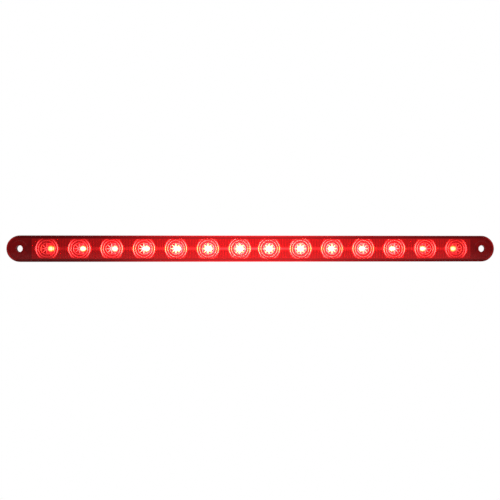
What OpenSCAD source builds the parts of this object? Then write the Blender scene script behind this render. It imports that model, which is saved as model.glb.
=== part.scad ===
// LED third brake light: a slim flush-mount bar with two screw ears.
// Units are millimetres. X runs along the bar, the lens faces -Y and +Z is up.
// The origin is midway between the two screw holes, on the back plane of the flange.

/* [Outline] */
// Overall length of the bar over its rounded ends
bar_length = 304.8; // [304:0.1:320]
// Overall height of the bar
bar_height = 16.4; // [16:0.1:18]
// Radius of the rounded front edge
edge_radius = 0.9; // [0.4:0.1:1.2]

/* [Mounting] */
// Distance between the two screw hole centres
hole_spacing = 288.6; // [288:0.2:292]
// Diameter of the screw clearance holes
hole_diameter = 4.3; // [4:0.1:5]
// Thickness of the screw ears, lens and housing flange together
ear_thickness = 2.6; // [2.4:0.1:3.2]

/* [Light cells] */
// Number of light cells in each of the two reflector modules
cells_per_module = 7; // [6:1:7]
// Distance between neighbouring cells in one module
cell_pitch = 19.8; // [19.2:0.1:19.8]
// Distance between the two cells that meet at the middle of the bar
centre_gap = 18.4; // [17.6:0.1:18.4]
// Radius of the round cup mouth
cup_radius = 7; // [6.6:0.1:7.1]
// Radius of the ledge ring inside the cup
inner_ring_radius = 5.3; // [4.8:0.1:5.3]

/* [Body] */
// Depth of the housing body behind the flange
body_depth = 12.2; // [12:0.1:16]
// Thickness of the lens window
lens_wall = 1.6; // [1.4:0.1:1.8]
// Diameter of the cable passage in the rear grommet
cable_bore = 3.8; // [3:0.1:4.4]

/* [Hidden] */
$fn = 64;
gap = 0.15;

lens_rim = 0.9;
pad_height = 0.35;
pad_radius = 4.7;
pad_flare = 0.5;

flange_thickness = ear_thickness - lens_wall;
flange_height = bar_height - 2 * (lens_rim + 0.05);
side_wall = 0.8;
end_wall = 1.8;
floor_wall = 1.3;
body_corner = 1.5;

module_length = centre_gap + (cells_per_module - 1) * cell_pitch;
reflector_height = 12.2;
cavity_length = 2 * (module_length + gap);
cavity_height = reflector_height + 2 * gap;
body_length = cavity_length + 2 * end_wall;
body_height = cavity_height + 2 * side_wall;

board_thickness = 1.6;
potting_depth = 1.5;
floor_y = body_depth - floor_wall;
board_back = floor_y - potting_depth;
board_front = board_back - board_thickness;
board_length = cavity_length - 2 * gap;
board_height = cavity_height - 2 * gap;
ledge_width = 0.95;

led_side = 5;
led_thickness = 1.55;
led_notch = 1;
led_front = board_front - led_thickness;
window_radius = 2;
window_depth = 0.6;
die_side = 0.6;
die_thickness = 0.2;
lead_width = 0.9;
lead_reach = 0.45;
lead_thickness = 0.4;
lead_pitch = 1.6;

reflector_front = 0.2 - flange_thickness;
shell = 0.7;
plate_thickness = 1.2;
mouth_depth = 0.7;
mouth_half_width = 7.95;
mouth_flat_half_width = 5.1;
mouth_half_height = 5.85;
cone_depth = 1;
cone_taper = 0.7;
cup_top = reflector_front + mouth_depth + cone_depth;
cup_bottom = led_front - gap;
cup_floor_radius = 2.15;
flute_radius = 0.5;
flute_pitch = 1.7;
flute_depth = 0.3;
flute_margin = 0.4;

grommet_neck = 3.5;
grommet_lip = 4.6;
lip_thickness = 1.2;
wire_hole = 0.9;
wire_spacing = 2.2;

resistor_size = [6.4, 0.6, 3.2];
diode_size = [4.3, 2.1, 2.6];
suppressor_size = [4.6, 2.2, 3.6];
capacitor_size = [3.2, 1.2, 1.6];

function two_digits(n) = n < 10 ? str("0", n) : str(n);
function cell_offset(i) = centre_gap / 2 + i * cell_pitch;
// Cells are numbered from the left end of the bar to the right end.
function cell_x(n) = n <= cells_per_module
    ? -cell_offset(cells_per_module - n)
    : cell_offset(n - cells_per_module - 1);
function between_cells(n) = (cell_x(n) + cell_x(n + 1)) / 2;

cell_count = 2 * cells_per_module;
resistor_x = [for (n = [2, 4, cell_count - 4, cell_count - 2]) between_cells(n)];

// ---- shared shapes ----

// A cylinder or cone along Y, from y0 to y1.
module y_cylinder(y0, y1, r0, r1) {
    translate([0, y0, 0])
        rotate([-90, 0, 0])
            cylinder(h = y1 - y0, r1 = r0, r2 = r1);
}

// A box centred on X and Z, from y0 to y1.
module y_block(length, height, y0, y1) {
    translate([-length / 2, y0, -height / 2])
        cube([length, y1 - y0, height]);
}

// A box with its four edges along Y rounded.
module round_block(length, height, y0, y1, r) {
    y_block(length - 2 * r, height, y0, y1);
    y_block(length, height - 2 * r, y0, y1);
    for (x = [-1, 1], z = [-1, 1])
        translate([x * (length / 2 - r), 0, z * (height / 2 - r)])
            y_cylinder(y0, y1, r, r);
}

// Half of the bar's cross-section: height outwards, depth back from a front edge of radius r.
module edge_profile(half, depth, r) {
    square([half - r, depth]);
    translate([0, r])
        square([half, depth - r]);
    translate([half - r, r])
        circle(r);
}

// A plate with full-round ends and a rounded front edge, from y0 to y1.
module rounded_bar(length, height, y0, y1, r) {
    straight = length - height;
    for (x = [-1, 1])
        translate([x * straight / 2, y0, 0])
            rotate([-90, 0, 0])
                rotate_extrude()
                    edge_profile(height / 2, y1 - y0, r);
    for (side = [0, 1])
        translate([0, y0, 0])
            mirror([0, 0, side])
                rotate([90, 0, 90])
                    linear_extrude(height = straight, center = true)
                        rotate(90)
                            mirror([0, 1, 0])
                                edge_profile(height / 2, y1 - y0, r);
}

// A plate with full-round ends and square edges, from y0 to y1.
module flat_bar(length, height, y0, y1) {
    straight = length - height;
    y_block(straight, height, y0, y1);
    for (x = [-1, 1])
        translate([x * straight / 2, 0, 0])
            y_cylinder(y0, y1, height / 2, height / 2);
}

module at_screw_holes() {
    for (x = [-1, 1])
        translate([x * hole_spacing / 2, 0, 0])
            children();
}

module screw_holes() {
    at_screw_holes()
        y_cylinder(-ear_thickness - 1, 1, hole_diameter / 2, hole_diameter / 2);
}

// ---- lens and housing ----

module lens() {
    color([0.75, 0.02, 0.03, 0.6])
    difference() {
        union() {
            rounded_bar(bar_length, bar_height, -ear_thickness, 0, edge_radius);
            at_screw_holes()
                y_cylinder(-ear_thickness - pad_height, -ear_thickness + 0.1,
                           pad_radius, pad_radius + pad_flare);
        }
        flat_bar(bar_length - 2 * lens_rim, bar_height - 2 * lens_rim, -flange_thickness, 1);
        screw_holes();
    }
}

module housing() {
    color([0.08, 0.07, 0.07])
    difference() {
        union() {
            flat_bar(bar_length - bar_height + flange_height, flange_height,
                     -flange_thickness, 0);
            round_block(body_length, body_height, -flange_thickness, body_depth, body_corner);
        }
        difference() {
            y_block(cavity_length, cavity_height, -flange_thickness - 1, floor_y);
            board_ledges();
        }
        screw_holes();
        y_cylinder(floor_y - 1, body_depth + 1, grommet_neck, grommet_neck);
    }
}

// The two long ledges that carry the circuit board's edges.
module board_ledges() {
    for (side = [0, 1])
        mirror([0, 0, side])
            translate([-cavity_length / 2 - 1, board_back, cavity_height / 2 - ledge_width])
                cube([cavity_length + 2, potting_depth + 1, ledge_width + 1]);
}

module wire_grommet() {
    color([0.05, 0.05, 0.05])
    difference() {
        union() {
            y_cylinder(floor_y - lip_thickness, floor_y, grommet_lip, grommet_lip);
            y_cylinder(floor_y, body_depth, grommet_neck, grommet_neck);
            y_cylinder(body_depth, body_depth + lip_thickness, grommet_lip, grommet_lip - 0.4);
        }
        y_cylinder(floor_y - 3, body_depth + 3, cable_bore / 2, cable_bore / 2);
    }
}

// ---- reflector ----

// The hexagonal mouth of one cell, as a prism from y0 to y1.
module mouth_prism(y0, y1) {
    w = mouth_half_width;
    f = mouth_flat_half_width;
    h = mouth_half_height;
    translate([0, y1, 0])
        rotate([90, 0, 0])
            linear_extrude(height = y1 - y0)
                polygon([[-w, 0], [-f, h], [f, h], [w, 0], [f, -h], [-f, -h]]);
}

// The bowl of the cup: a parabola from the ledge ring down to the floor hole.
function bowl_radius(t) = sqrt(pow(cup_floor_radius, 2)
    + t * (pow(inner_ring_radius, 2) - pow(cup_floor_radius, 2)));

module bowl(thickness) {
    steps = 8;
    rise = cup_bottom - cup_top;
    rotate([-90, 0, 0])
        rotate_extrude()
            polygon([
                [0, cup_top],
                for (i = [0:steps])
                    [bowl_radius(1 - i / steps) + thickness, cup_top + rise * i / steps],
                [0, cup_bottom]
            ]);
}

// The open space of one cell: hexagonal mouth, stepped cone, ledge and bowl.
module cell_space() {
    mouth_prism(reflector_front - 1, reflector_front + mouth_depth);
    intersection() {
        mouth_prism(reflector_front, cup_top);
        y_cylinder(reflector_front + mouth_depth, cup_top, cup_radius, cup_radius - cone_taper);
    }
    bowl(0);
    y_cylinder(cup_bottom - 0.1, board_front, cup_floor_radius, cup_floor_radius);
}

// Upright flutes in the land between two cells.
module land_flutes(x) {
    for (i = [-1:1])
        translate([x + i * flute_pitch, reflector_front + flute_depth - flute_radius,
                   -reflector_height / 2 + flute_margin])
            cylinder(h = reflector_height - 2 * flute_margin, r = flute_radius, $fn = 24);
}

module reflector(first) {
    x0 = cell_x(first) - centre_gap / 2 + gap / 2;
    x1 = cell_x(first + cells_per_module - 1) + centre_gap / 2 - gap / 2;
    middle = (x0 + x1) / 2;
    cells = [first:first + cells_per_module - 1];
    color([0.86, 0.86, 0.88])
    difference() {
        union() {
            translate([middle, 0, 0])
                y_block(x1 - x0, reflector_height, reflector_front,
                        reflector_front + plate_thickness + cone_depth);
            translate([middle, 0, 0])
            difference() {
                y_block(x1 - x0, reflector_height, reflector_front, board_front);
                y_block(x1 - x0 - 2 * shell, reflector_height - 2 * shell,
                        reflector_front + plate_thickness, board_front + 1);
            }
            for (n = cells)
                translate([cell_x(n), 0, 0])
                    bowl(shell);
        }
        for (n = cells)
            translate([cell_x(n), 0, 0])
                cell_space();
        for (n = [first:first + cells_per_module - 2])
            land_flutes(between_cells(n));
    }
}

// ---- circuit ----

module circuit_board() {
    color([0.1, 0.3, 0.16])
    difference() {
        round_block(board_length, board_height, board_front, board_back, 1);
        for (x = [-1, 1])
            translate([x * wire_spacing / 2, 0, 0])
                y_cylinder(board_front - 1, board_back + 1, wire_hole, wire_hole);
    }
}

module potting() {
    color([0.12, 0.12, 0.13])
    difference() {
        y_block(board_length, cavity_height - 2 * ledge_width - 2 * gap, board_back, floor_y);
        y_cylinder(board_back - 1, floor_y + 1, grommet_lip + gap, grommet_lip + gap);
    }
}

// The moulded package of one LED, with a bevelled corner and a round well.
module led(n) {
    half = led_side / 2;
    color([0.9, 0.89, 0.86])
    translate([cell_x(n), 0, 0])
    difference() {
        translate([0, board_front, 0])
            rotate([90, 0, 0])
                linear_extrude(height = led_thickness)
                    polygon([[-half, -half], [half, -half], [half, half - led_notch],
                             [half - led_notch, half], [-half, half]]);
        led_well();
    }
}

module led_well() {
    y_cylinder(led_front, led_front + window_depth, window_radius, window_radius - 0.2);
}

// The clear resin in each LED well, moulded around the chip.
module led_windows() {
    color([0.95, 0.75, 0.7, 0.6])
    for (n = [1:cell_count])
        translate([cell_x(n), 0, 0])
            difference() {
                led_well();
                led_die();
            }
}

module led_die() {
    y_block(die_side, die_side, led_front + window_depth - die_thickness,
            led_front + window_depth);
}

module led_dies() {
    color([0.9, 0.5, 0.2])
    for (n = [1:cell_count])
        translate([cell_x(n), 0, 0])
            led_die();
}

// Four solder leads on each LED, two above and two below the package.
module led_leads() {
    color([0.8, 0.8, 0.78])
    for (n = [1:cell_count], side = [-1, 1], lead = [-1, 1])
        translate([cell_x(n) + lead * lead_pitch, 0, side * (led_side + lead_reach) / 2])
            y_block(lead_width, lead_reach, board_front - lead_thickness, board_front);
}

// A chip component lying on the front of the board.
module chip(size, x, shade) {
    color(shade)
    translate([x, 0, 0])
        y_block(size[0], size[2], board_front - size[1], board_front);
}

// A moulded two-lead component: a body with a flat lead at each end.
module leaded_chip(size, x, shade) {
    lead = [0.7, 0.3, 1.5];
    color(shade)
    translate([x, 0, 0]) {
        y_block(size[0], size[2], board_front - size[1], board_front);
        y_block(size[0] + 2 * lead[0], lead[2], board_front - lead[1], board_front);
    }
}

housing();
reflector(1);  // reflector_left
reflector(cells_per_module + 1);  // reflector_right
circuit_board();
potting();
wire_grommet();
led_windows();
led_dies();
led_leads();
leaded_chip(diode_size, between_cells(cells_per_module - 1), [0.1, 0.1, 0.1]);  // polarity_diode
leaded_chip(suppressor_size, between_cells(cells_per_module + 1), [0.1, 0.1, 0.1]);  // surge_suppressor
chip(capacitor_size, between_cells(cells_per_module), [0.6, 0.5, 0.4]);  // filter_capacitor
for (i = [1:len(resistor_x)])
    chip(resistor_size, resistor_x[i - 1], [0.12, 0.12, 0.12]);
for (n = [1:cell_count])
    led(n);
lens();
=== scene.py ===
import math

import bmesh
import bpy
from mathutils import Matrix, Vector


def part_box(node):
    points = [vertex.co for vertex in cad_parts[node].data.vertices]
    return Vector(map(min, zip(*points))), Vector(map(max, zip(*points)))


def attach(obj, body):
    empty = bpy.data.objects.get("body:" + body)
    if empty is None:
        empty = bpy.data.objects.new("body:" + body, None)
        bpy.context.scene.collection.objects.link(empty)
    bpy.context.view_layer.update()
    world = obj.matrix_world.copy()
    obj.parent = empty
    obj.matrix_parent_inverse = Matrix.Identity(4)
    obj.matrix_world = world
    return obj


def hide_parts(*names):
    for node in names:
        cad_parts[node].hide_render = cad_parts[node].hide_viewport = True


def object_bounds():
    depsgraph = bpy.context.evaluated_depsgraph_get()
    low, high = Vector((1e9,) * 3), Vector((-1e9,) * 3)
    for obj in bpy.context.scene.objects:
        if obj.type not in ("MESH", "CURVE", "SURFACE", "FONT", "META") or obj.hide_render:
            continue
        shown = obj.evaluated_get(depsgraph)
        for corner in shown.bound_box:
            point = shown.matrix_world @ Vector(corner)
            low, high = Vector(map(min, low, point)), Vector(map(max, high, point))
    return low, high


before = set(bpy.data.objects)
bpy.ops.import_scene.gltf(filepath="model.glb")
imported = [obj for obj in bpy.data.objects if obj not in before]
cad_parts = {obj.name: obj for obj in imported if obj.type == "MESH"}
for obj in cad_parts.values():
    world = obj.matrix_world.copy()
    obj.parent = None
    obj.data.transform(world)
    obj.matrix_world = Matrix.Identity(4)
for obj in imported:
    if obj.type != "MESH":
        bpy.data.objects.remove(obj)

MM = 0.001
CAD_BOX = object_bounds()
SCENE = bpy.context.scene

# Sizes of the optics, in millimetres, as the CAD part has them.
MOUTH_HALF_WIDTH = 7.95
MOUTH_FLAT_HALF_WIDTH = 5.1
MOUTH_HALF_HEIGHT = 5.85
MOUTH_DEPTH = 0.7
CUP_RADIUS = 7.0
CONE_DEPTH = 1.0
CONE_TAPER = 0.7
INNER_RING_RADIUS = 5.3
CUP_FLOOR_RADIUS = 2.15
FLUTE_RADIUS = 0.5
FLUTE_DEPTH = 0.3
FLUTE_PITCH = 1.7
WINDOW_RADIUS = 2.0
LED_COUNT = 14
LENS_FRONT = -2.6
LENS_WALL = 1.6
LENS_IOR = 1.585

# Finer shape, in millimetres. The CAD part has no step in its bowls and no ribs.
BOWL_DEPTH = 5.2
STEP_RADIUS = 4.15
STEP_DEPTH = 2.0
BRIGHT_FLOOR_RADIUS = 3.4
# How far down the mouth's wall and in from the land's long edges the flutes fade out.
FLUTE_BLEND = 0.1
FLUTE_RUN_OUT = 0.4
LAND_STRIP = 0.11
WINDOW_FOOT_RADIUS = 1.8
WINDOW_SAG = 0.12
# The ribs' feet lie a little inside the lens's wall.
RIB_ROOT = -0.05
RAY_START = 0.5
RAY_END = 3.1
RAY_HEIGHT = 0.12
RAY_HALF_WIDTH = 0.12
RAY_WIDENING = 0.34
FLOOR_GAP = 0.4

# Points round each shape.
CELL_SEGMENTS = 96
RING_SEGMENTS = 72
GROMMET_SEGMENTS = 64
WINDOW_SEGMENTS = 32
RAY_COUNT = 8

# The ring ribs over each LED, which carry a painted glow. glow is the strength at the bar's ends, and what
# its middle adds. even is the share of it that stays above and below the LED. The glint is a painted
# warm highlight at the rib's sides.
RING_RIBS = (
    {"radius": 3.5, "half_width": 0.14, "height": 0.10, "glow": (0.05, 0.14), "even": 0.4,
     "narrow": 1, "glint": 0.0, "glint_narrow": 1},
    {"radius": 5.1, "half_width": 0.16, "height": 0.11, "glow": (0.08, 0.20), "even": 0.25,
     "narrow": 2, "glint": 0.2, "glint_narrow": 10},
    {"radius": 6.5, "half_width": 0.22, "height": 0.12, "glow": (0.19, 0.13), "even": 0.0,
     "narrow": 4, "glint": 0.38, "glint_narrow": 16},
)

# How strongly a window shines, at its edge and over its die: on its surroundings, in the bright
# metal, and far hotter, to a ray that has come through the lens.
DIM_SPREAD_LIGHT = 0.8
SPREAD_LIGHT = 6.0
DIM_MIRRORED_LIGHT = 2.6
MIRRORED_LIGHT = 45.0
DIM_SEEN_LIGHT = 4.0
SEEN_LIGHT = 270.0

# The end LEDs' share of the middle LEDs' strength, and the ray ribs' painted glow: at the ends, and added.
END_STRENGTH = 0.45
RAY_GLOW = 0.12
RAY_ADDED_GLOW = 0.88

# Painted glow on the lens and the bowls that changes along the bar, as pairs of X in millimetres and the
# value there.
FACE_LIGHT = ((-150, 0.075), (-137, 0.075), (-118, 0.09), (-78, 0.155), (-45, 0.25), (0, 0.31),
              (39, 0.26), (70, 0.19), (118, 0.17), (137, 0.11), (150, 0.07))
RIM_LIGHT = ((-150, 0.02), (-98, 0.03), (-66, 0.20), (-34, 0.38), (-3, 0.44),
             (29, 0.38), (60, 0.16), (92, 0.10), (111, 0.05), (150, 0.03))
BAND_LIGHT = ((-150, 0), (-138, 0), (-126, 0.7), (126, 0.6), (138, 0), (150, 0))
STREAK_LIGHT = ((-150, 0), (-70, 0.06), (-40, 0.10), (-20, 0.26), (0, 0.60),
                (20, 0.26), (40, 0.10), (70, 0.04), (150, 0))
BOWL_LIGHT = ((-128, 0.08), (-80, 0.12), (-50, 0.5), (-25, 1.2), (0, 2.8),
              (25, 1.5), (50, 0.5), (80, 0.12), (128, 0.08))
LIGHT_REACH = 160

# Places of the colour sockets on a Mix node, whose names are the same as its value sockets'.
MIX_COLOUR_A = 6
MIX_COLOUR_B = 7
MIX_COLOUR_RESULT = 2

# Finishes on the reflector, as places in its list of materials.
BRIGHT = 0
LAND = 1
SATIN = 2


# ---------------------------------------------------------------- camera and studio

def make_camera():
    data = bpy.data.cameras.new("camera")
    data.sensor_width = 36
    data.lens = 45.55
    data.shift_x = -0.126
    data.shift_y = -0.0027
    data.clip_start = 0.01
    data.clip_end = 20
    camera = bpy.data.objects.new("camera", data)
    SCENE.collection.objects.link(camera)
    camera.location = (0.0188, -0.400, 0)
    camera.rotation_euler = (math.radians(90), 0, math.radians(-2.59))
    SCENE.camera = camera


def make_world():
    """White behind the object, and a dim soft surround, brighter overhead, for everything else."""
    world = bpy.data.worlds.new("studio")
    SCENE.world = world
    world.use_nodes = True
    nodes, links = world.node_tree.nodes, world.node_tree.links
    nodes.clear()
    out = nodes.new("ShaderNodeOutputWorld")
    mix = nodes.new("ShaderNodeMixShader")
    path = nodes.new("ShaderNodeLightPath")
    white = nodes.new("ShaderNodeBackground")
    white.inputs["Color"].default_value = (1, 1, 1, 1)
    white.inputs["Strength"].default_value = 1
    room = nodes.new("ShaderNodeBackground")
    room.inputs["Strength"].default_value = 0.55
    place = nodes.new("ShaderNodeTexCoord")
    split = nodes.new("ShaderNodeSeparateXYZ")
    ramp = nodes.new("ShaderNodeValToRGB")
    turn = nodes.new("ShaderNodeMapRange")
    turn.inputs["From Min"].default_value = -1
    turn.inputs["From Max"].default_value = 1
    ramp.color_ramp.elements[0].position = 0.52
    ramp.color_ramp.elements[0].color = (0.035, 0.035, 0.037, 1)
    ramp.color_ramp.elements[1].position = 0.9
    ramp.color_ramp.elements[1].color = (0.30, 0.31, 0.32, 1)
    links.new(place.outputs["Generated"], split.inputs["Vector"])
    links.new(split.outputs["Z"], turn.inputs["Value"])
    links.new(turn.outputs["Result"], ramp.inputs["Fac"])
    links.new(ramp.outputs["Color"], room.inputs["Color"])
    links.new(path.outputs["Is Camera Ray"], mix.inputs["Fac"])
    links.new(room.outputs["Background"], mix.inputs[1])
    links.new(white.outputs["Background"], mix.inputs[2])
    links.new(mix.outputs["Shader"], out.inputs["Surface"])


def make_lamp(name, place, size, power):
    """A soft lamp aimed at the part's middle, hidden from rays that the lens bends or mirrors."""
    data = bpy.data.lights.new(name, "AREA")
    data.shape = "RECTANGLE"
    data.size = size[0]
    data.size_y = size[1]
    data.energy = power
    lamp = bpy.data.objects.new(name, data)
    SCENE.collection.objects.link(lamp)
    lamp.location = place
    lamp.rotation_euler = (-Vector(place)).to_track_quat("-Z", "Y").to_euler()
    lamp.visible_transmission = False
    lamp.visible_glossy = False


def make_studio():
    make_world()
    make_lamp("key", (-0.35, -0.45, 0.75), (0.7, 0.4), 3)
    make_lamp("fill", (0.75, -0.35, 0.35), (0.4, 0.5), 1)
    make_lamp("back_soft", (0.25, 0.75, 0.55), (0.8, 0.5), 9)
    make_lamp("back_side", (-0.8, 0.5, 0.25), (0.4, 0.4), 4)


# ---------------------------------------------------------------- materials

class Shader:
    """A node material with one Principled shader and short helpers for its detail."""

    def __init__(self, name):
        self.material = bpy.data.materials.new(name)
        self.material.use_nodes = True
        self.nodes = self.material.node_tree.nodes
        self.links = self.material.node_tree.links
        self.nodes.clear()
        self.out = self.nodes.new("ShaderNodeOutputMaterial")
        self.bsdf = self.nodes.new("ShaderNodeBsdfPrincipled")
        self.links.new(self.bsdf.outputs["BSDF"], self.out.inputs["Surface"])
        self.place = self.nodes.new("ShaderNodeTexCoord").outputs["Object"]

    def set(self, socket, value):
        self.bsdf.inputs[socket].default_value = value

    def noise(self, scale, detail, rough=0.55):
        noise = self.nodes.new("ShaderNodeTexNoise")
        noise.inputs["Scale"].default_value = scale
        noise.inputs["Detail"].default_value = detail
        noise.inputs["Roughness"].default_value = rough
        self.links.new(self.place, noise.inputs["Vector"])
        return noise.outputs["Fac"]

    def ramp(self, source, low, high, start=0.3, end=0.7):
        ramp = self.nodes.new("ShaderNodeValToRGB")
        ramp.color_ramp.elements[0].position = start
        ramp.color_ramp.elements[0].color = (*low, 1)
        ramp.color_ramp.elements[1].position = end
        ramp.color_ramp.elements[1].color = (*high, 1)
        self.links.new(source, ramp.inputs["Fac"])
        return ramp.outputs["Color"]

    def span(self, source, low, high, start=0.3, end=0.7):
        span = self.nodes.new("ShaderNodeMapRange")
        span.inputs["From Min"].default_value = start
        span.inputs["From Max"].default_value = end
        span.inputs["To Min"].default_value = low
        span.inputs["To Max"].default_value = high
        self.links.new(source, span.inputs["Value"])
        return span.outputs["Result"]

    def attribute(self, name):
        """A value stored in the mesh."""
        stored = self.nodes.new("ShaderNodeAttribute")
        stored.attribute_name = name
        return stored.outputs["Fac"]

    def product(self, first, second):
        times = self.nodes.new("ShaderNodeMath")
        times.operation = "MULTIPLY"
        self.links.new(first, times.inputs[0])
        self.links.new(second, times.inputs[1])
        return times.outputs["Value"]

    def mix(self, share, low, high):
        """The value low where share is 0, and high where it is 1."""
        mix = self.nodes.new("ShaderNodeMix")
        self.links.new(share, mix.inputs["Factor"])
        self.links.new(low, mix.inputs["A"])
        self.links.new(high, mix.inputs["B"])
        return mix.outputs["Result"]

    def mix_colour(self, share, low, high):
        """The fixed colour low where share is 0, and the output high where it is 1."""
        mix = self.nodes.new("ShaderNodeMix")
        mix.data_type = "RGBA"
        mix.inputs[MIX_COLOUR_A].default_value = (*low, 1)
        self.links.new(share, mix.inputs["Factor"])
        self.links.new(high, mix.inputs[MIX_COLOUR_B])
        return mix.outputs[MIX_COLOUR_RESULT]

    def colour(self, output):
        self.links.new(output, self.bsdf.inputs["Base Color"])

    def roughness(self, output):
        self.links.new(output, self.bsdf.inputs["Roughness"])

    def shine(self, tint, strength):
        self.links.new(tint, self.bsdf.inputs["Emission Color"])
        self.links.new(strength, self.bsdf.inputs["Emission Strength"])

    def bump(self, source, height_mm, strength):
        bump = self.nodes.new("ShaderNodeBump")
        bump.inputs["Strength"].default_value = strength
        bump.inputs["Distance"].default_value = height_mm * MM
        self.links.new(source, bump.inputs["Height"])
        self.links.new(bump.outputs["Normal"], self.bsdf.inputs["Normal"])


def along_bar(s, stops):
    """A value that changes smoothly along the bar; stops are pairs of X in millimetres and the value there.

    The ramp cuts its result off at 1, so a stop above 1 only widens the stretch at full strength.
    """
    split = s.nodes.new("ShaderNodeSeparateXYZ")
    span = s.nodes.new("ShaderNodeMapRange")
    span.inputs["From Min"].default_value = -LIGHT_REACH * MM
    span.inputs["From Max"].default_value = LIGHT_REACH * MM
    ramp = s.nodes.new("ShaderNodeValToRGB")
    ramp.color_ramp.interpolation = "B_SPLINE"
    marks = ramp.color_ramp.elements
    while len(marks) < len(stops):
        marks.new(0.5)
    for mark, (x, value) in zip(marks, stops):
        mark.position = (x + LIGHT_REACH) / (2 * LIGHT_REACH)
        mark.color = (value, value, value, 1)
    s.links.new(s.place, split.inputs["Vector"])
    s.links.new(split.outputs["X"], span.inputs["Value"])
    s.links.new(span.outputs["Result"], ramp.inputs["Fac"])
    return ramp.outputs["Color"]


def mid_height(s, half, flat):
    """1 up to flat millimetres above and below mid-height, falling smoothly to 0 at half millimetres."""
    split = s.nodes.new("ShaderNodeSeparateXYZ")
    size = s.nodes.new("ShaderNodeMath")
    size.operation = "ABSOLUTE"
    fall = s.nodes.new("ShaderNodeMapRange")
    fall.interpolation_type = "SMOOTHSTEP"
    fall.inputs["From Min"].default_value = flat * MM
    fall.inputs["From Max"].default_value = half * MM
    fall.inputs["To Min"].default_value = 1
    fall.inputs["To Max"].default_value = 0
    s.links.new(s.place, split.inputs["Vector"])
    s.links.new(split.outputs["Z"], size.inputs[0])
    s.links.new(size.outputs["Value"], fall.inputs["Value"])
    return fall.outputs["Result"]


def red_lens_material():
    """Clear red moulded plastic, with faint flow marks, a deep-coloured thick rim, and a painted glow that
    stands in for the LEDs' light from inside.
    """
    s = Shader("red_lens")
    flow = s.ramp(s.noise(45, 2), (0.90, 0.030, 0.030), (0.95, 0.036, 0.036))
    face = mid_height(s, 7.5, 6.1)
    s.colour(s.mix_colour(face, (0.40, 0.006, 0.006), flow))
    s.roughness(s.span(s.noise(900, 4), 0.006, 0.02))
    s.set("Transmission Weight", 0.97)
    s.set("IOR", LENS_IOR)
    s.set("Specular IOR Level", 0.25)
    # Painted glow: the face shines most in the bar's middle and in a band at mid-height, and the rim has a
    # weaker painted glow of its own.
    band = s.nodes.new("ShaderNodeMath")
    band.operation = "MULTIPLY_ADD"
    band.inputs[2].default_value = 1.0
    s.links.new(mid_height(s, 1.6, 0.4), band.inputs[0])
    s.links.new(along_bar(s, BAND_LIGHT), band.inputs[1])
    face_light = s.product(along_bar(s, FACE_LIGHT), band.outputs["Value"])
    # A painted pink highlight along mid-height, strongest in the bar's middle.
    painted_streak = s.product(along_bar(s, STREAK_LIGHT), mid_height(s, 1.1, 0.0))
    tint = s.ramp(painted_streak, (1.0, 0.038, 0.044), (1.0, 0.32, 0.38), 0.0, 1.0)
    s.shine(tint, s.mix(face, along_bar(s, RIM_LIGHT), face_light))
    s.bump(s.noise(160, 2, 0.4), 0.02, 0.35)
    return s.material


def black_housing_material():
    """Glass-filled black plastic with a fine spark-eroded grain."""
    s = Shader("black_housing")
    s.colour(s.ramp(s.noise(120, 4), (0.030, 0.027, 0.027), (0.052, 0.048, 0.047)))
    s.roughness(s.span(s.noise(700, 5), 0.42, 0.66))
    s.set("IOR", 1.5)
    s.bump(s.noise(3200, 4, 0.6), 0.03, 0.7)
    return s.material


def metal_material():
    """Vacuum-metallised plastic: bright, with a slight orange peel and a thin haze."""
    s = Shader("metallised_reflector")
    s.colour(s.ramp(s.noise(260, 3), (0.80, 0.78, 0.80), (0.88, 0.87, 0.88)))
    s.roughness(s.span(s.noise(1200, 3), 0.07, 0.12))
    s.set("Metallic", 1.0)
    s.bump(s.noise(1500, 2, 0.5), 0.006, 0.4)
    return s.material


def land_material():
    """The satin land between the mouths: stippled metal, with upright bands a flute's pitch apart."""
    s = Shader("metallised_land")
    wave = s.nodes.new("ShaderNodeTexWave")
    # The texture's bands repeat every 2 pi / (20 * scale).
    wave.inputs["Scale"].default_value = 2 * math.pi / (20 * FLUTE_PITCH * MM)
    wave.inputs["Distortion"].default_value = 0.4
    s.links.new(s.place, wave.inputs["Vector"])
    s.colour(s.ramp(wave.outputs["Fac"], (0.24, 0.22, 0.23), (0.56, 0.54, 0.55), 0.1, 0.8))
    s.roughness(s.span(s.noise(1200, 3), 0.34, 0.48))
    s.set("Metallic", 1.0)
    s.bump(s.noise(2400, 2, 0.5), 0.02, 0.6)
    return s.material


def bowl_material():
    """The bowls' satin finish, with a painted pink glow for the LED's light that it spreads, strongest in
    the bar's middle.
    """
    s = Shader("metallised_bowl")
    s.colour(s.ramp(s.noise(500, 3), (0.50, 0.48, 0.49), (0.62, 0.60, 0.61)))
    s.roughness(s.span(s.noise(1400, 3), 0.45, 0.60))
    s.set("Specular IOR Level", 0.12)
    s.bump(s.noise(2000, 2, 0.5), 0.015, 0.5)
    # Painted glow, pink, strongest in the bar's middle.
    s.set("Emission Color", (1.0, 0.72, 0.84, 1))
    s.links.new(along_bar(s, BOWL_LIGHT), s.bsdf.inputs["Emission Strength"])
    return s.material


def optics_material():
    """The lens's clear inner ribs, with a painted glow that stands in for the LED's light they gather; how
    much is stored in the mesh.
    """
    s = Shader("lens_ribs")
    s.colour(s.ramp(s.noise(300, 2), (0.96, 0.90, 0.90), (0.99, 0.95, 0.95)))
    s.roughness(s.span(s.noise(900, 4), 0.008, 0.025))
    s.set("Transmission Weight", 1.0)
    s.set("IOR", LENS_IOR)
    # Painted glow: pink, turning yellow where the painted glint is warm.
    tint = s.ramp(s.attribute("warm"), (1.0, 0.72, 0.80), (1.0, 0.95, 0.05), 0.0, 1.0)
    s.shine(tint, s.span(s.attribute("glow"), 0.0, 8.0, 0.0, 1.0))
    return s.material


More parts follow.
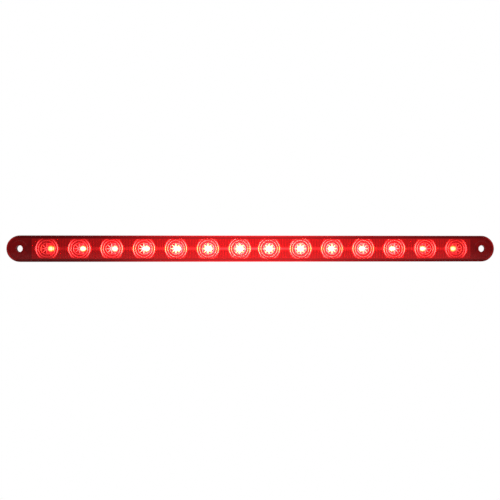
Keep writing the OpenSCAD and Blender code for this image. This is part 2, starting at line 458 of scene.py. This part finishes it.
def glow_material():
    """The LED's lit window: its strength is stored in the mesh, hottest over the die."""
    s = Shader("led_window")
    s.colour(s.ramp(s.noise(1800, 2), (0.9, 0.5, 0.42), (0.95, 0.62, 0.5)))
    s.roughness(s.span(s.noise(2500, 3), 0.15, 0.3))
    glow = s.attribute("glow")
    path = s.nodes.new("ShaderNodeLightPath")
    through_lens = path.outputs["Is Transmission Ray"]
    undiffused = s.span(path.outputs["Diffuse Depth"], 1.0, 0.0, 0.0, 1.0)
    heat = s.ramp(glow, (1.0, 0.42, 0.03), (1.0, 0.50, 0.42), 0.22, 0.56)
    tint = s.mix_colour(through_lens, (1.0, 0.30, 0.40), heat)
    spread = s.span(glow, DIM_SPREAD_LIGHT, SPREAD_LIGHT, 0.4, 1.0)
    mirrored = s.span(glow, DIM_MIRRORED_LIGHT, MIRRORED_LIGHT, 0.45, 1.0)
    seen = s.span(glow, DIM_SEEN_LIGHT, SEEN_LIGHT, 0.0, 1.0)
    direct = s.mix(through_lens, s.mix(path.outputs["Is Glossy Ray"], spread, mirrored), seen)
    s.shine(tint, s.mix(undiffused, spread, direct))
    return s.material


def plastic_material(name, low, high, rough=(0.35, 0.55)):
    """The small parts' plain finish, in a colour that varies a little."""
    s = Shader(name)
    s.colour(s.ramp(s.noise(600, 3), low, high))
    s.roughness(s.span(s.noise(1000, 3), *rough))
    s.bump(s.noise(2000, 3), 0.02, 0.6)
    return s.material


def tin_material():
    s = plastic_material("tinned_leads", (0.62, 0.62, 0.60), (0.76, 0.75, 0.72), (0.25, 0.5))
    s.node_tree.nodes["Principled BSDF"].inputs["Metallic"].default_value = 1.0
    return s


def rubber_material():
    """Black moulded rubber with a dull bloom and small pores."""
    s = Shader("grommet_rubber")
    s.colour(s.ramp(s.noise(500, 4), (0.018, 0.018, 0.019), (0.045, 0.044, 0.044)))
    s.roughness(s.span(s.noise(900, 4), 0.62, 0.85))
    s.bump(s.noise(2600, 4), 0.04, 0.7)
    return s.material


def paint(obj, material):
    obj.data.materials.clear()
    obj.data.materials.append(material)


def paint_node(name, material):
    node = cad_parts[name]
    if not node.material_slots:
        node.data.materials.append(material)
    for place in node.material_slots:
        place.material = material


# ---------------------------------------------------------------- mesh helpers

def new_piece(name, bm, smooth=True):
    mesh = bpy.data.meshes.new(name)
    bm.to_mesh(mesh)
    bm.free()
    if smooth:
        mesh.polygons.foreach_set("use_smooth", [True] * len(mesh.polygons))
    obj = bpy.data.objects.new(name, mesh)
    SCENE.collection.objects.link(obj)
    return obj


def ring_of(bm, x, radius, depth, count):
    """Points evenly round a circle that faces the front, at a depth along Y; all in millimetres."""
    ring = []
    for i in range(count):
        angle = 2 * math.pi * i / count
        place = (x + radius * math.cos(angle), depth, radius * math.sin(angle))
        ring.append(bm.verts.new([c * MM for c in place]))
    return ring


def join_rings(bm, first, second, finish=0):
    """A closed band of faces between two rings that have as many points."""
    count = len(first)
    for i in range(count):
        j = (i + 1) % count
        face = bm.faces.new((first[i], first[j], second[j], second[i]))
        face.material_index = finish


def weighted(obj):
    modifier = obj.modifiers.new("weighted", "WEIGHTED_NORMAL")
    modifier.keep_sharp = True
    modifier.weight = 60


def middle_x(node):
    low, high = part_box(node)
    return (low.x + high.x) / 2 / MM


# ---------------------------------------------------------------- reflectors

def mouth_reach(angle):
    """From the cell's middle to the edge of its six-sided mouth, in that direction."""
    across = abs(math.cos(angle))
    up = abs(math.sin(angle))
    run = MOUTH_HALF_WIDTH - MOUTH_FLAT_HALF_WIDTH
    side = math.hypot(MOUTH_HALF_HEIGHT, run)
    reach = MOUTH_HALF_HEIGHT * MOUTH_HALF_WIDTH / (MOUTH_HALF_HEIGHT * across + run * up)
    if up > 1e-9:
        reach = min(reach, MOUTH_HALF_HEIGHT / up)
    return reach


def mouth_edge_height(x):
    """Half the mouth's height at a distance x from the cell's middle."""
    x = abs(x)
    if x <= MOUTH_FLAT_HALF_WIDTH:
        return MOUTH_HALF_HEIGHT
    if x >= MOUTH_HALF_WIDTH:
        return 0.0
    run = MOUTH_HALF_WIDTH - MOUTH_FLAT_HALF_WIDTH
    return MOUTH_HALF_HEIGHT * (MOUTH_HALF_WIDTH - x) / run


def flute_sink(x, flutes):
    """How far an upright flute sinks the land at x."""
    sink = 0.0
    for middle in flutes:
        off = abs(x - middle)
        if off < FLUTE_RADIUS:
            depth = math.sqrt(FLUTE_RADIUS ** 2 - off ** 2) - (FLUTE_RADIUS - FLUTE_DEPTH)
            sink = max(sink, depth)
    return sink


def facet(angle, share):
    """Turns a round section into an eight-sided one; share is 0 for round and 1 for flat facets."""
    step = math.pi / 4
    turn = (angle + step / 2) % step - step / 2
    flat = 1 / math.cos(turn)
    return 1 + share * (flat - 1)


def cell_profile(front):
    """The cell from its mouth inwards: (limit radius, depth, inset from the mouth's edge, facets, finish).

    The mouth's wall has no limit radius of its own, so its limit is a radius past any mouth.
    """
    ledge = front + MOUTH_DEPTH
    top = ledge + CONE_DEPTH
    small = CUP_RADIUS - CONE_TAPER
    past_mouth = 20
    rows = [
        (past_mouth, front, 0.0, 0, BRIGHT),
        (past_mouth, front + 0.05, 0.03, 0, BRIGHT),
        (past_mouth, front + 0.16, 0.06, 0, BRIGHT),
        (past_mouth, ledge - 0.10, 0.08, 0, BRIGHT),
        (past_mouth, ledge - 0.02, 0.12, 0, BRIGHT),
        (past_mouth, ledge, 0.20, 0, BRIGHT),
        (CUP_RADIUS + 0.10, ledge, 0.26, 0, SATIN),
        (CUP_RADIUS - 0.02, ledge + 0.05, 0.28, 0, BRIGHT),
        (CUP_RADIUS - 0.12, ledge + 0.17, 0.28, 0, BRIGHT),
        (small + 0.10, top - 0.12, 0.30, 0, SATIN),
        (small, top - 0.03, 0.32, 0, BRIGHT),
        (small - 0.12, top - 0.02, 0.34, 0, BRIGHT),
        (small - 0.30, top - 0.12, 0.36, 0, SATIN),
        (small - 0.52, top - 0.26, 0.38, 0, SATIN),
        (small - 0.74, top - 0.26, 0.40, 0, BRIGHT),
        (INNER_RING_RADIUS + 0.06, top - 0.12, 0.4, 0, BRIGHT),
        (INNER_RING_RADIUS, top + 0.05, 0.4, 0, BRIGHT),
    ]
    bottom = top + BOWL_DEPTH
    step_depth = top + STEP_DEPTH
    for i in range(1, 5):
        t = i / 4
        radius = INNER_RING_RADIUS + (STEP_RADIUS + 0.16 - INNER_RING_RADIUS) * t
        rows.append((radius, top + 0.05 + (step_depth - top - 0.05) * t, 0.4, 0, SATIN))
    rows.append((STEP_RADIUS + 0.08, step_depth + 0.03, 0.4, 0, BRIGHT))
    rows.append((STEP_RADIUS, step_depth, 0.4, 0, BRIGHT))
    rows.append((STEP_RADIUS - 0.1, step_depth + 0.06, 0.4, 0.1, BRIGHT))
    for i in range(1, 9):
        t = i / 8
        radius = STEP_RADIUS - 0.1 + (CUP_FLOOR_RADIUS - STEP_RADIUS + 0.1) * t
        depth = step_depth + 0.06 + (bottom - step_depth - 0.06) * t
        finish = BRIGHT if radius < BRIGHT_FLOOR_RADIUS else SATIN
        rows.append((radius, depth, 0.4, min(1, 0.1 + t * 1.5), finish))
    return rows


def add_cell(bm, x, front, flutes):
    """The bowl, its stepped rings and the mouth's wall: a turned skin, cut off at the mouth's edge."""
    corner = math.atan2(MOUTH_HALF_HEIGHT, MOUTH_FLAT_HALF_WIDTH)
    angles = [2 * i * math.pi / CELL_SEGMENTS for i in range(CELL_SEGMENTS)]
    angles += [corner, math.pi - corner, math.pi + corner, -corner + 2 * math.pi]
    angles.sort()
    rings = []
    profile = cell_profile(front)
    for limit, depth, inset, share, _ in profile:
        ring = []
        for angle in angles:
            reach = mouth_reach(angle)
            radius = min(limit * facet(angle, share), reach - inset)
            px = x + radius * math.cos(angle)
            pz = radius * math.sin(angle)
            py = depth
            if depth < front + FLUTE_BLEND:
                py += flute_sink(px, flutes) * max(0.0, 1 - (depth - front) / FLUTE_BLEND)
            ring.append(bm.verts.new((px * MM, py * MM, pz * MM)))
        rings.append(ring)
    for outer, inner, row in zip(rings, rings[1:], profile[1:]):
        finish = row[-1]
        join_rings(bm, outer, inner, finish)


def add_land(bm, x, left, right, front, half_height, flutes):
    """The flat between the mouths, in upright strips so that its flutes are real."""
    columns = {left - x, right - x}
    columns |= {-MOUTH_HALF_WIDTH, MOUTH_HALF_WIDTH, -MOUTH_FLAT_HALF_WIDTH, MOUTH_FLAT_HALF_WIDTH}
    count = int((right - left) / LAND_STRIP)
    for i in range(1, count):
        columns.add(left - x + i * (right - left) / count)
    columns = sorted(c for c in columns if left - x - 1e-6 <= c <= right - x + 1e-6)
    for sign in (-1, 1):
        previous = None
        for c in columns:
            inner = mouth_edge_height(c)
            strip = []
            for share in (0.0, 0.5, 0.9, 0.96, 1.0):
                z = inner + (half_height - inner) * share
                fade = min(1.0, max(0.0, (half_height - z) / FLUTE_RUN_OUT))
                y = front + flute_sink(x + c, flutes) * fade
                strip.append(bm.verts.new(((x + c) * MM, y * MM, sign * z * MM)))
            if previous:
                for k in range(4):
                    face = (previous[k], strip[k], strip[k + 1], previous[k + 1])
                    made = bm.faces.new(face if sign > 0 else tuple(reversed(face)))
                    made.material_index = LAND
            previous = strip


def add_skirt(bm, left, right, front, back, half_height):
    """The four outer walls, from the land back to the circuit board."""
    corners = [(left, -half_height), (right, -half_height), (right, half_height), (left, half_height)]
    rows = []
    for depth in (front, front + 0.4, back):
        rows.append([bm.verts.new((a * MM, depth * MM, b * MM)) for a, b in corners])
    for upper, lower in zip(rows, rows[1:]):
        join_rings(bm, upper, lower)


def build_reflector(name, node, cells, finishes):
    low, high = (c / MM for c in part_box(node))
    bm = bmesh.new()
    for n, x in enumerate(cells):
        left = low.x if n == 0 else (cells[n - 1] + x) / 2
        right = high.x if n == len(cells) - 1 else (x + cells[n + 1]) / 2
        flutes = []
        if n > 0:
            flutes += [left + k * FLUTE_PITCH for k in (-1, 0, 1)]
        if n < len(cells) - 1:
            flutes += [right + k * FLUTE_PITCH for k in (-1, 0, 1)]
        add_cell(bm, x, low.y, flutes)
        add_land(bm, x, left, right, low.y, high.z, flutes)
    add_skirt(bm, low.x, high.x, low.y, high.y, high.z)
    bmesh.ops.remove_doubles(bm, verts=bm.verts, dist=0.004 * MM)
    bmesh.ops.recalc_face_normals(bm, faces=bm.faces)
    obj = new_piece(name, bm)
    weighted(obj)
    for finish in finishes:
        obj.data.materials.append(finish)
    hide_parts(node)
    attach(obj, "root")


# ---------------------------------------------------------------- optics moulded inside the lens

def side_light(angle, narrow):
    """The painted glow's share: strong to the left and right of the cell's middle, weak above and below."""
    return abs(math.cos(angle)) ** narrow


def rib_light(rib, power):
    """What gives a ring rib's painted glow and warmth at an angle; power is its LED's, from 0 to 1."""
    least, added = rib["glow"]

    def light(angle):
        spread = rib["even"] + (1 - rib["even"]) * side_light(angle, rib["narrow"])
        glint = power * side_light(angle, rib["glint_narrow"])
        warm = glint if rib["glint"] else 0.0
        return (least + added * power) * spread + rib["glint"] * glint, warm

    return light


def add_ring_rib(bm, layers, x, face, rib, light):
    """A half-round circular rib on the lens's inner face."""
    half_width = rib["half_width"]
    section = [(-half_width, RIB_ROOT), (-half_width, 0.0)]
    for i in range(1, 4):
        turn = math.pi * i / 4
        section.append((-half_width * math.cos(turn), rib["height"] * math.sin(turn)))
    section += [(half_width, 0.0), (half_width, RIB_ROOT)]
    rings = []
    for out, rise in section:
        ring = ring_of(bm, x, rib["radius"] + out, face + rise, RING_SEGMENTS)
        # Each point keeps its painted glow and warmth.
        for i, vertex in enumerate(ring):
            vertex[layers[0]], vertex[layers[1]] = light(2 * math.pi * i / RING_SEGMENTS)
        rings.append(ring)
    rings.append(rings[0])
    for first, second in zip(rings, rings[1:]):
        join_rings(bm, first, second)


def add_ray_rib(bm, layers, x, face, angle, half_width, glow):
    """A straight rib of the star over the LED, which tapers, and whose painted glow turns warmer towards
    its tip.
    """
    along = (math.cos(angle), math.sin(angle))
    side = (-along[1], along[0])
    shoulder = RAY_START * 0.4 + RAY_END * 0.6
    sections = []
    for reach, share, warm in ((RAY_START, 1.0, 0.0), (shoulder, 1.0, 0.6), (RAY_END, 0.3, 1.4)):
        foot = half_width * share
        section = []
        for out, rise in ((-foot, RIB_ROOT), (0, RAY_HEIGHT * share), (foot, RIB_ROOT)):
            px = x + along[0] * reach + side[0] * out
            pz = along[1] * reach + side[1] * out
            vertex = bm.verts.new((px * MM, (face + rise) * MM, pz * MM))
            vertex[layers[0]] = glow
            vertex[layers[1]] = warm * glow
            section.append(vertex)
        sections.append(section)
    for first, second in zip(sections, sections[1:]):
        join_rings(bm, first, second)
    bm.faces.new(sections[0])
    bm.faces.new(sections[-1])


def cell_power(x, reach):
    """How far an LED at x is above the end LEDs: 1 in the bar's middle, 0 at its ends."""
    return math.cos(abs(x) / reach * math.pi / 2) ** 0.8


def build_lens_optics(cells, material):
    """The rings and the star that the lens carries over each LED, with their painted glow stored in the
    mesh.
    """
    face = LENS_FRONT + LENS_WALL
    reach = max(abs(c) for c in cells)
    bm = bmesh.new()
    layers = [bm.verts.layers.float.new("glow"), bm.verts.layers.float.new("warm")]
    for x in cells:
        power = cell_power(x, reach)
        for rib in RING_RIBS:
            add_ring_rib(bm, layers, x, face, rib, rib_light(rib, power))
        glow = RAY_GLOW + RAY_ADDED_GLOW * power ** 2.5
        half_width = RAY_HALF_WIDTH + RAY_WIDENING * power ** 2
        for i in range(RAY_COUNT):
            angle = 2 * math.pi * i / RAY_COUNT
            add_ray_rib(bm, layers, x, face, angle, half_width, glow)
    bmesh.ops.recalc_face_normals(bm, faces=bm.faces)
    obj = new_piece("lens_optics", bm)
    paint(obj, material)
    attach(obj, "root")


# ---------------------------------------------------------------- LEDs

def build_windows(cells, material):
    """Fourteen clear resin windows, each a shallow meniscus in the package's well."""
    low, high = (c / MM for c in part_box("led_windows"))
    bm = bmesh.new()
    layer = bm.verts.layers.float.new("glow")
    reach = max(abs(c) for c in cells)
    for x in cells:
        strength = END_STRENGTH + (1 - END_STRENGTH) * cell_power(x, reach)
        middle = ring_of(bm, x, 0, low.y + WINDOW_SAG, 1)[0]
        middle[layer] = strength
        rings = []
        for share in (0.22, 0.45, 0.7, 0.9, 1.0):
            sink = WINDOW_SAG * (1 - share ** 2)
            ring = ring_of(bm, x, WINDOW_RADIUS * share, low.y + sink, WINDOW_SEGMENTS)
            for i, vertex in enumerate(ring):
                angle = 2 * math.pi * i / WINDOW_SEGMENTS
                # The hot spot is wider than it is high.
                squash = (share * math.cos(angle)) ** 2 + 2.2 * (share * math.sin(angle)) ** 2
                vertex[layer] = strength * max(0.08, 1 - 0.5 * squash)
            rings.append(ring)
        for i in range(WINDOW_SEGMENTS):
            j = (i + 1) % WINDOW_SEGMENTS
            bm.faces.new((middle, rings[0][j], rings[0][i]))
        foot = ring_of(bm, x, WINDOW_FOOT_RADIUS, high.y, WINDOW_SEGMENTS)
        rings.append(foot)
        for inner, outer in zip(rings, rings[1:]):
            join_rings(bm, inner, outer)
        bm.faces.new(foot)
    bmesh.ops.recalc_face_normals(bm, faces=bm.faces)
    obj = new_piece("window_menisci", bm)
    paint(obj, material)
    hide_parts("led_windows")
    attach(obj, "root")


# ---------------------------------------------------------------- grommet

def build_grommet(material):
    """A turned rubber wire bush: collar, neck and lip with rounded edges, and the cable's bore."""
    low, high = (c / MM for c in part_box("wire_grommet"))
    middle = (low.x + high.x) / 2
    neck = 3.5
    lip = (high.x - low.x) / 2
    bore = 1.9
    back = high.y
    profile = [
        (bore, low.y), (neck - 0.3, low.y), (neck - 0.08, low.y + 0.08), (neck, low.y + 0.3),
        (neck, back - 1.25), (neck + 0.06, back - 1.2), (lip - 0.25, back - 1.18),
        (lip - 0.07, back - 1.1), (lip, back - 0.92), (lip, back - 0.4), (lip - 0.08, back - 0.22),
        (lip - 0.3, back - 0.1), (bore + 1.1, back - 0.04), (bore + 0.9, back),
        (bore + 0.45, back), (bore + 0.3, back - 0.06), (bore + 0.1, back - 0.2), (bore, back - 0.45),
    ]
    bm = bmesh.new()
    rings = [ring_of(bm, middle, radius, depth, GROMMET_SEGMENTS) for radius, depth in profile]
    rings.append(rings[0])
    for first, second in zip(rings, rings[1:]):
        join_rings(bm, first, second)
    bmesh.ops.recalc_face_normals(bm, faces=bm.faces)
    obj = new_piece("grommet_bush", bm)
    weighted(obj)
    paint(obj, material)
    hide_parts("wire_grommet")
    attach(obj, "root")


# ---------------------------------------------------------------- floor

def build_floor():
    bm = bmesh.new()
    bmesh.ops.create_grid(bm, x_segments=4, y_segments=4, size=3)
    floor = new_piece("floor", bm, smooth=False)
    floor.location = (0, 0, CAD_BOX[0].z - FLOOR_GAP * MM)
    s = Shader("pale_floor")
    s.colour(s.ramp(s.noise(8, 2), (0.14, 0.14, 0.14), (0.16, 0.16, 0.16)))
    s.set("Roughness", 0.9)
    glow = s.nodes.new("ShaderNodeEmission")
    mix = s.nodes.new("ShaderNodeMixShader")
    path = s.nodes.new("ShaderNodeLightPath")
    s.links.new(path.outputs["Is Camera Ray"], mix.inputs["Fac"])
    s.links.new(s.bsdf.outputs["BSDF"], mix.inputs[1])
    s.links.new(glow.outputs["Emission"], mix.inputs[2])
    s.links.new(mix.outputs["Shader"], s.out.inputs["Surface"])
    paint(floor, s.material)


# ---------------------------------------------------------------- put together

def paint_nodes(lens):
    package = plastic_material("led_package", (0.80, 0.79, 0.76), (0.88, 0.87, 0.84))
    black_part = plastic_material("black_component", (0.02, 0.02, 0.02), (0.04, 0.04, 0.04))
    ceramic = plastic_material("ceramic_component", (0.30, 0.24, 0.17), (0.40, 0.32, 0.24))
    board = plastic_material("board_laminate", (0.02, 0.12, 0.05), (0.03, 0.17, 0.07))
    potting = plastic_material("potting_resin", (0.02, 0.02, 0.022), (0.05, 0.05, 0.05), (0.15, 0.3))
    chip = plastic_material("led_chip", (0.8, 0.5, 0.3), (0.9, 0.6, 0.4))
    tin = tin_material()
    paint_node("lens", lens)
    paint_node("housing", black_housing_material())
    paint_node("circuit_board", board)
    paint_node("potting", potting)
    paint_node("led_dies", chip)
    paint_node("led_leads", tin)
    paint_node("polarity_diode", black_part)
    paint_node("surge_suppressor", black_part)
    paint_node("filter_capacitor", ceramic)
    for n in range(1, 5):
        paint_node(f"resistor_{n}", black_part)
    for n in range(1, LED_COUNT + 1):
        paint_node(f"led_{n:02d}", package)


def main():
    SCENE.view_settings.view_transform = "Standard"
    SCENE.cycles.sample_clamp_indirect = 0
    make_camera()
    make_studio()
    build_floor()
    cells = [middle_x(f"led_{n:02d}") for n in range(1, LED_COUNT + 1)]
    cells.sort()
    half = LED_COUNT // 2
    finishes = [metal_material(), land_material(), bowl_material()]
    build_reflector("cells_left", "reflector_left", cells[:half], finishes)
    build_reflector("cells_right", "reflector_right", cells[half:], finishes)
    lens = red_lens_material()
    build_lens_optics(cells, optics_material())
    build_windows(cells, glow_material())
    build_grommet(rubber_material())
    paint_nodes(lens)


main()
